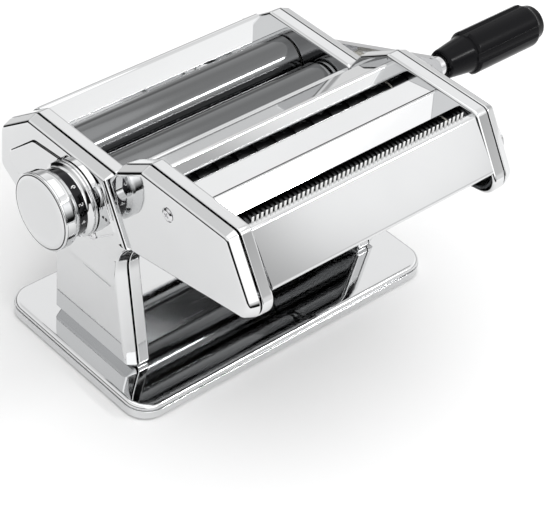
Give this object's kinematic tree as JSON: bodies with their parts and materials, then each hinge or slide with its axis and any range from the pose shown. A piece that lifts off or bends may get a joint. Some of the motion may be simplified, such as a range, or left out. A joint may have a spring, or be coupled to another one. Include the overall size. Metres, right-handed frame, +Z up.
{
  "type": "pasta roller machine",
  "caption": "Hand-cranked dough sheeting machine with a thickness knob and a lift-off double noodle cutter on a two-legged base.",
  "frame": {"origin": "middle of the base on the table it stands on", "axes": "+Z up, +X the crank side, -X the thickness knob side, -Y the cutter side"},
  "size_m": [0.3062, 0.2027, 0.1482],
  "materials": {
    "chrome_sheet": "mirror polished",
    "roller_steel": "polished, faint turning marks",
    "cutter_steel": "turned",
    "gear_steel": "machined, greased",
    "bush_nylon": "satin",
    "bright_steel": "bright plated",
    "plain_steel": "satin",
    "spring_steel": "satin wire",
    "foot_rubber": "matt",
    "grip_black": "high gloss",
    "comb_nylon": "satin"
  },
  "bodies": {
    "frame": {"base_tray": "chrome_sheet", "foot_frame": "foot_rubber", "base_fasteners": "bright_steel", "left_side_plate": "chrome_sheet", "right_side_plate": "chrome_sheet", "left_end_cover": "chrome_sheet", "right_end_cover": "chrome_sheet", "end_cover_screws": "bright_steel", "cover_standoffs": "plain_steel", "rear_guard": "chrome_sheet", "front_guard": "chrome_sheet", "tie_rods": "plain_steel", "tie_rod_nuts": "bright_steel", "roller_bushings": "bush_nylon", "regulator_bushings": "bush_nylon", "index_plate": "chrome_sheet", "crank_bezel": "chrome_sheet", "fixed_scraper": "plain_steel", "cutter_rails": "plain_steel"},
    "drive_roller": {"drive_roller": "roller_steel", "drive_gear": "gear_steel"},
    "crank": {"crank_shaft": "bright_steel", "crank_arm": "bright_steel", "grip_pin": "bright_steel", "grip_ferrule": "bright_steel"},
    "grip": {"crank_grip": "grip_black"},
    "regulator": {"regulator_shaft": "plain_steel", "knob_spring": "spring_steel", "knob_screw": "bright_steel"},
    "knob": {"thickness_knob": "chrome_sheet", "knob_cap": "chrome_sheet", "locating_pin": "bright_steel"},
    "carrier": {"scraper_hangers": "plain_steel", "swing_scraper": "plain_steel"},
    "adjustable_roller": {"adjustable_roller": "roller_steel", "adjustable_gear": "gear_steel"},
    "cutter": {"cutter_left_plate": "chrome_sheet", "cutter_right_plate": "chrome_sheet", "cutter_left_cover": "chrome_sheet", "cutter_right_cover": "chrome_sheet", "cutter_cover_screws": "bright_steel", "cutter_spacers": "plain_steel", "cutter_front_panel": "chrome_sheet", "cutter_roof": "chrome_sheet", "cutter_rear_panel": "chrome_sheet", "cutter_hooks": "plain_steel", "cutter_bushings": "bush_nylon", "feed_comb": "comb_nylon", "wide_combs": "comb_nylon", "narrow_combs": "comb_nylon", "cutter_socket_rings": "chrome_sheet"},
    "wide_drive": {"wide_drive_roller": "cutter_steel", "wide_drive_gear": "gear_steel"},
    "wide_idle": {"wide_idle_roller": "cutter_steel", "wide_idle_gear": "gear_steel"},
    "narrow_drive": {"narrow_drive_roller": "cutter_steel", "narrow_drive_gear": "gear_steel"},
    "narrow_idle": {"narrow_idle_roller": "cutter_steel", "narrow_idle_gear": "gear_steel"}
  },
  "joints": [
    {"name": "crank_turn", "type": "hinge", "parent": "frame", "child": "drive_roller", "pos_m": [0, 0.0422, 0.1028], "axis": [1, 0, 0], "continuous": true},
    {"name": "crank_pull", "type": "slide", "parent": "drive_roller", "child": "crank", "axis": [1, 0, 0], "range_m": [0, 0.03]},
    {"name": "grip_spin", "type": "hinge", "parent": "crank", "child": "grip", "pos_m": [0.15, -0.04134, 0.13108], "axis": [1, 0, 0], "continuous": true},
    {"name": "thickness", "type": "hinge", "parent": "frame", "child": "regulator", "pos_m": [0, 0.0127, 0.1028], "axis": [-1, 0, 0], "range_deg": [0, 150]},
    {"name": "knob_pull", "type": "slide", "parent": "regulator", "child": "knob", "axis": [-1, 0, 0], "range_m": [0, 0.005], "stiffness_N_per_m": 1500, "springref_m": -0.004, "deforming": ["knob_spring"]},
    {"name": "scraper_swing", "type": "hinge", "parent": "regulator", "child": "carrier", "pos_m": [0, 0.0114, 0.1028], "axis": [-1, 0, 0], "range_deg": [-150, 0]},
    {"name": "adjustable_roll", "type": "hinge", "parent": "carrier", "child": "adjustable_roller", "pos_m": [0, 0.0114, 0.1028], "axis": [1, 0, 0], "continuous": true},
    {"name": "cutter_slide", "type": "slide", "parent": "frame", "child": "cutter", "axis": [0, 0.5091, 0.8607], "range_m": [0, 0.045]},
    {"name": "wide_turn", "type": "hinge", "parent": "cutter", "child": "wide_drive", "pos_m": [0, -0.0556, 0.122], "axis": [1, 0, 0], "continuous": true},
    {"name": "wide_idle_turn", "type": "hinge", "parent": "cutter", "child": "wide_idle", "pos_m": [0, -0.0364, 0.122], "axis": [1, 0, 0], "continuous": true},
    {"name": "narrow_turn", "type": "hinge", "parent": "cutter", "child": "narrow_drive", "pos_m": [0, -0.0976, 0.124], "axis": [1, 0, 0], "continuous": true},
    {"name": "narrow_idle_turn", "type": "hinge", "parent": "cutter", "child": "narrow_idle", "pos_m": [0, -0.0784, 0.124], "axis": [1, 0, 0], "continuous": true}
  ],
  "couplings": [
    {"joint": "scraper_swing", "follows": "thickness", "ratio": -1},
    {"joint": "adjustable_roll", "follows": "crank_turn", "ratio": -1},
    {"joint": "wide_idle_turn", "follows": "wide_turn", "ratio": -1},
    {"joint": "narrow_idle_turn", "follows": "narrow_turn", "ratio": -1}
  ]
}
